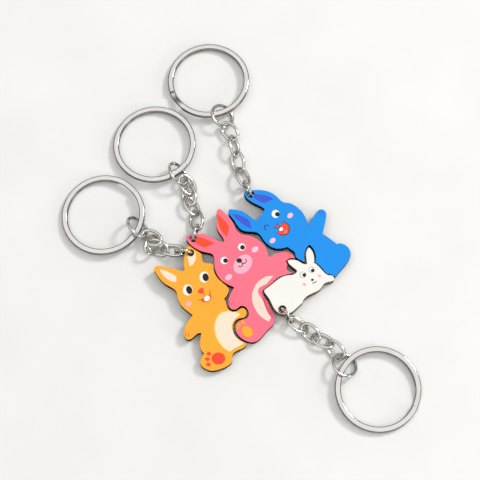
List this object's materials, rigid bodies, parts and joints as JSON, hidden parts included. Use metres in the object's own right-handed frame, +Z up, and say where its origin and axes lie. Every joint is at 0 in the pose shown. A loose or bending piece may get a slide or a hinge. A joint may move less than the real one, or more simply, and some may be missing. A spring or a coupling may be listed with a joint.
{
  "type": "keychain",
  "caption": "Nested set of flat cut-board rabbit key charms, each on a jump ring, a short oval-link chain and a split ring for keys.",
  "frame": {"origin": "middle of the set's outline, on the plane the set lies on", "axes": "+Z up from the plane, printed sides up; +Y towards the blue keychain's split ring; +X towards the white keychain's split ring"},
  "size_m": [0.1267, 0.1453, 0.008],
  "materials": {
    "fibreboard": "laser-cut, charred edges",
    "orange_print": "printed",
    "pink_print": "printed",
    "blue_print": "printed",
    "white_print": "printed",
    "bright_nickel": "bright nickel plate"
  },
  "bodies": {
    "pink_charm": {"pink_rabbit_board": "fibreboard", "pink_rabbit_print": "pink_print"},
    "pink_jump": {"pink_jump_ring": "bright_nickel"},
    "pink_link_1": {"pink_chain_link_1": "bright_nickel"},
    "pink_link_2": {"pink_chain_link_2": "bright_nickel"},
    "pink_link_3": {"pink_chain_link_3": "bright_nickel"},
    "pink_link_4": {"pink_chain_link_4": "bright_nickel"},
    "pink_end": {"pink_end_ring": "bright_nickel"},
    "pink_split": {"pink_split_ring": "bright_nickel"},
    "orange_charm": {"orange_rabbit_board": "fibreboard", "orange_rabbit_print": "orange_print"},
    "orange_jump": {"orange_jump_ring": "bright_nickel"},
    "orange_link_1": {"orange_chain_link_1": "bright_nickel"},
    "orange_link_2": {"orange_chain_link_2": "bright_nickel"},
    "orange_link_3": {"orange_chain_link_3": "bright_nickel"},
    "orange_link_4": {"orange_chain_link_4": "bright_nickel"},
    "orange_end": {"orange_end_ring": "bright_nickel"},
    "orange_split": {"orange_split_ring": "bright_nickel"},
    "blue_charm": {"blue_rabbit_board": "fibreboard", "blue_rabbit_print": "blue_print"},
    "blue_jump": {"blue_jump_ring": "bright_nickel"},
    "blue_link_1": {"blue_chain_link_1": "bright_nickel"},
    "blue_link_2": {"blue_chain_link_2": "bright_nickel"},
    "blue_link_3": {"blue_chain_link_3": "bright_nickel"},
    "blue_link_4": {"blue_chain_link_4": "bright_nickel"},
    "blue_end": {"blue_end_ring": "bright_nickel"},
    "blue_split": {"blue_split_ring": "bright_nickel"},
    "white_charm": {"white_rabbit_board": "fibreboard", "white_rabbit_print": "white_print"},
    "white_jump": {"white_jump_ring": "bright_nickel"},
    "white_link_1": {"white_chain_link_1": "bright_nickel"},
    "white_link_2": {"white_chain_link_2": "bright_nickel"},
    "white_link_3": {"white_chain_link_3": "bright_nickel"},
    "white_link_4": {"white_chain_link_4": "bright_nickel"},
    "white_end": {"white_end_ring": "bright_nickel"},
    "white_split": {"white_split_ring": "bright_nickel"}
  },
  "joints": [
    {"name": "pink_jump_swing", "type": "hinge", "parent": "pink_charm", "child": "pink_jump", "pos_m": [-0.01532, -0.00154, 0.0035], "axis": [0.9611, -0.276, 0], "range_deg": [-60, 60]},
    {"name": "pink_link_1_swing", "type": "hinge", "parent": "pink_jump", "child": "pink_link_1", "pos_m": [-0.01441, -0.00017, 0.00311], "axis": [-0.9611, 0.276, 0], "range_deg": [-15, 45]},
    {"name": "pink_link_2_swing", "type": "hinge", "parent": "pink_link_1", "child": "pink_link_2", "pos_m": [-0.0141, 0.00686, 0.00263], "axis": [0.8679, 0.217, 0.4469], "range_deg": [-45, 15]},
    {"name": "pink_link_3_swing", "type": "hinge", "parent": "pink_link_2", "child": "pink_link_3", "pos_m": [-0.01709, 0.00939, 0.00165], "axis": [0.4491, 0.2521, 0.8572], "range_deg": [-45, 5]},
    {"name": "pink_link_4_swing", "type": "hinge", "parent": "pink_link_3", "child": "pink_link_4", "pos_m": [-0.01638, 0.01414, 0.00091], "axis": [-0.5399, 0.8009, 0.259], "range_deg": [-5, 45]},
    {"name": "pink_end_swing", "type": "hinge", "parent": "pink_link_4", "child": "pink_end", "pos_m": [-0.01876, 0.0196, 0.00104], "axis": [-0.7807, -0.5918, 0.2009], "range_deg": [-5, 45]},
    {"name": "pink_split_swing", "type": "hinge", "parent": "pink_end", "child": "pink_split", "pos_m": [-0.02218, 0.023, 0.00287], "axis": [0.8051, 0.5931, 0], "range_deg": [-65, 20]},
    {"name": "orange_charm_lift", "type": "slide", "parent": "pink_charm", "child": "orange_charm", "axis": [0, 0, 1], "range_m": [0, 0.025]},
    {"name": "orange_jump_swing", "type": "hinge", "parent": "orange_charm", "child": "orange_jump", "pos_m": [-0.01933, -0.00876, 0.0035], "axis": [0.139, 0.9903, 0], "range_deg": [-5, 60]},
    {"name": "orange_link_1_swing", "type": "hinge", "parent": "orange_jump", "child": "orange_link_1", "pos_m": [-0.01952, -0.0081, 0.00188], "axis": [-0.1549, -0.8776, 0.4538], "range_deg": [-5, 45]},
    {"name": "orange_link_2_swing", "type": "hinge", "parent": "orange_link_1", "child": "orange_link_2", "pos_m": [-0.02523, -0.00814, 0.00142], "axis": [-0.4443, -0.8065, -0.3902], "range_deg": [-45, 0]},
    {"name": "orange_link_3_swing", "type": "hinge", "parent": "orange_link_2", "child": "orange_link_3", "pos_m": [-0.02951, -0.00307, 0.00208], "axis": [0.6499, -0.5039, -0.5689], "range_deg": [-30, 0]},
    {"name": "orange_link_4_swing", "type": "hinge", "parent": "orange_link_3", "child": "orange_link_4", "pos_m": [-0.02871, -0.00532, 0.00119], "axis": [0.6499, -0.5039, -0.5689], "range_deg": [-5, 10]},
    {"name": "orange_end_swing", "type": "hinge", "parent": "orange_link_4", "child": "orange_end", "pos_m": [-0.03303, -0.00127, 0.00263], "axis": [-0.8467, 0.5088, -0.1559], "range_deg": [-5, 60]},
    {"name": "orange_split_swing", "type": "hinge", "parent": "orange_end", "child": "orange_split", "pos_m": [-0.03545, 0.00028, 0.00327], "axis": [0.9216, -0.3798, 0.08], "range_deg": [0, 75]},
    {"name": "blue_charm_lift", "type": "slide", "parent": "pink_charm", "child": "blue_charm", "axis": [0, 0, 1], "range_m": [0, 0.015]},
    {"name": "blue_jump_swing", "type": "hinge", "parent": "blue_charm", "child": "blue_jump", "pos_m": [0.0034, 0.01494, 0.0035], "axis": [-0.9135, -0.4068, 0], "range_deg": [-60, 60]},
    {"name": "blue_link_1_swing", "type": "hinge", "parent": "blue_jump", "child": "blue_link_1", "pos_m": [0.00222, 0.0176, 0.00304], "axis": [-0.064, 0.143, 0.9877], "range_deg": [-45, 0]},
    {"name": "blue_link_2_swing", "type": "hinge", "parent": "blue_link_1", "child": "blue_link_2", "pos_m": [0.00023, 0.02342, 0.0021], "axis": [0.8489, 0.15, -0.5069], "range_deg": [-40, 45]},
    {"name": "blue_link_3_swing", "type": "hinge", "parent": "blue_link_2", "child": "blue_link_3", "pos_m": [-0.00096, 0.02954, 0.00229], "axis": [-0.8184, -0.1841, -0.5443], "range_deg": [-45, 45]},
    {"name": "blue_link_4_swing", "type": "hinge", "parent": "blue_link_3", "child": "blue_link_4", "pos_m": [-0.00084, 0.03449, 0.00267], "axis": [0.737, 0.583, 0.342], "range_deg": [-45, 30]},
    {"name": "blue_end_swing", "type": "hinge", "parent": "blue_link_4", "child": "blue_end", "pos_m": [-0.005, 0.03918, 0.00299], "axis": [0.2801, 0.1981, -0.9393], "range_deg": [-5, 60]},
    {"name": "blue_split_swing", "type": "hinge", "parent": "blue_end", "child": "blue_split", "pos_m": [-0.00627, 0.04457, 0.00317], "axis": [-0.3371, 0.9353, 0.108], "range_deg": [-75, 0]},
    {"name": "white_charm_lift", "type": "slide", "parent": "pink_charm", "child": "white_charm", "axis": [0, 0, 1], "range_m": [0, 0.035]},
    {"name": "white_jump_swing", "type": "hinge", "parent": "white_charm", "child": "white_jump", "pos_m": [0.01698, -0.03168, 0.0035], "axis": [0.7659, 0.6429, 0], "range_deg": [-60, 5]},
    {"name": "white_link_1_swing", "type": "hinge", "parent": "white_jump", "child": "white_link_1", "pos_m": [0.01859, -0.0336, 0.00196], "axis": [0, 0, 1], "range_deg": [-35, 10]},
    {"name": "white_link_2_swing", "type": "hinge", "parent": "white_link_1", "child": "white_link_2", "pos_m": [0.0225, -0.03495, 0.0018], "axis": [0.3729, 0.3229, 0.8698], "range_deg": [-35, 40]},
    {"name": "white_link_3_swing", "type": "hinge", "parent": "white_link_2", "child": "white_link_3", "pos_m": [0.02598, -0.03886, 0.00162], "axis": [-0.225, -0.303, 0.926], "range_deg": [-35, 45]},
    {"name": "white_link_4_swing", "type": "hinge", "parent": "white_link_3", "child": "white_link_4", "pos_m": [0.03134, -0.04087, 0.00172], "axis": [-0.161, -0.339, -0.9269], "range_deg": [-35, 45]},
    {"name": "white_end_swing", "type": "hinge", "parent": "white_link_4", "child": "white_end", "pos_m": [0.03602, -0.04512, 0.00151], "axis": [0.9191, 0.084, -0.385], "range_deg": [-45, 45]},
    {"name": "white_split_swing", "type": "hinge", "parent": "white_end", "child": "white_split", "pos_m": [0.03703, -0.04933, 0.00247], "axis": [0.3439, 0.3059, 0.8878], "range_deg": [-60, 15]}
  ]
}
